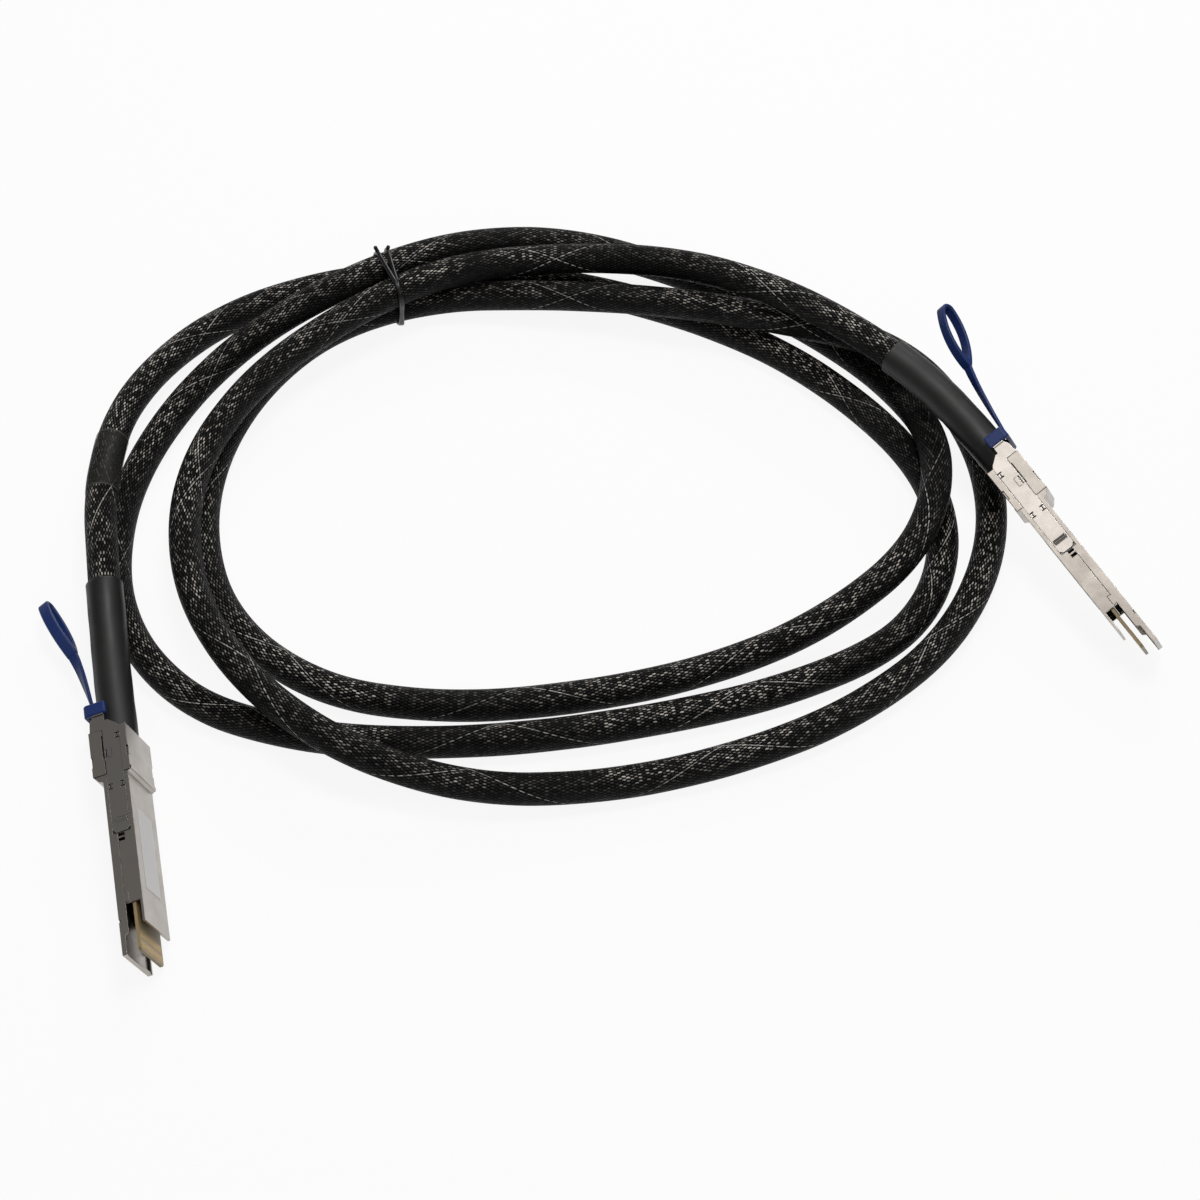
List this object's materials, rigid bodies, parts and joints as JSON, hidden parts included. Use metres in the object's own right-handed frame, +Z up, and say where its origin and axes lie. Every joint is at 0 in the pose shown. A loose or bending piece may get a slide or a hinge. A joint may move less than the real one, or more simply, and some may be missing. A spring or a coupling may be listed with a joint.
{
  "type": "direct attach copper cable",
  "caption": "Sleeved network cable lying in loose turns, with a metal plug, release slider and loop pull tab on each end.",
  "frame": {"origin": "on the table, under the middle of the box round the two connectors", "axes": "+Z up from the table, +X from the left connector to the right one, +Y away from the viewer, towards the tied side of the coil"},
  "size_m": [0.3708, 0.2909, 0.041],
  "materials": {
    "shell": "nickel plated, satin",
    "slider": "stamped, bright",
    "steel": "plain",
    "card": "coated laminate",
    "gold": "plated",
    "mould": "moulded",
    "wires": "extruded",
    "pull_tab": "moulded, satin",
    "sleeve": "braided sleeve",
    "boot": "shrunk, matte",
    "tape": "thin film",
    "tie": "coated wire"
  },
  "bodies": {
    "cable_assembly": {"bottom_shell_a": "shell", "top_shell_a": "shell", "paddle_card_a": "card", "contact_pads_a": "gold", "inner_mould_a": "mould", "wire_pairs_a": "wires", "crimp_ferrule_a": "steel", "return_springs_a": "steel", "bottom_shell_b": "shell", "top_shell_b": "shell", "paddle_card_b": "card", "contact_pads_b": "gold", "inner_mould_b": "mould", "wire_pairs_b": "wires", "crimp_ferrule_b": "steel", "return_springs_b": "steel", "cable": "sleeve", "cable_boot_a": "boot", "cable_boot_b": "boot", "tape_wrap": "tape", "cable_tie": "tie"},
    "release_a": {"release_slider_a": "slider", "pull_tab_a": "pull_tab"},
    "release_b": {"release_slider_b": "slider", "pull_tab_b": "pull_tab"}
  },
  "joints": [
    {"name": "release_slide_a", "type": "slide", "parent": "cable_assembly", "child": "release_a", "axis": [-0.1959, 0.9804, 0.0227], "range_m": [0, 0.003], "stiffness_N_per_m": 700, "springref_m": -0.004, "deforming": ["return_springs_a"]},
    {"name": "release_slide_b", "type": "slide", "parent": "cable_assembly", "child": "release_b", "axis": [-0.5531, 0.8199, 0.1478], "range_m": [0, 0.003], "stiffness_N_per_m": 700, "springref_m": -0.004, "deforming": ["return_springs_b"]}
  ]
}
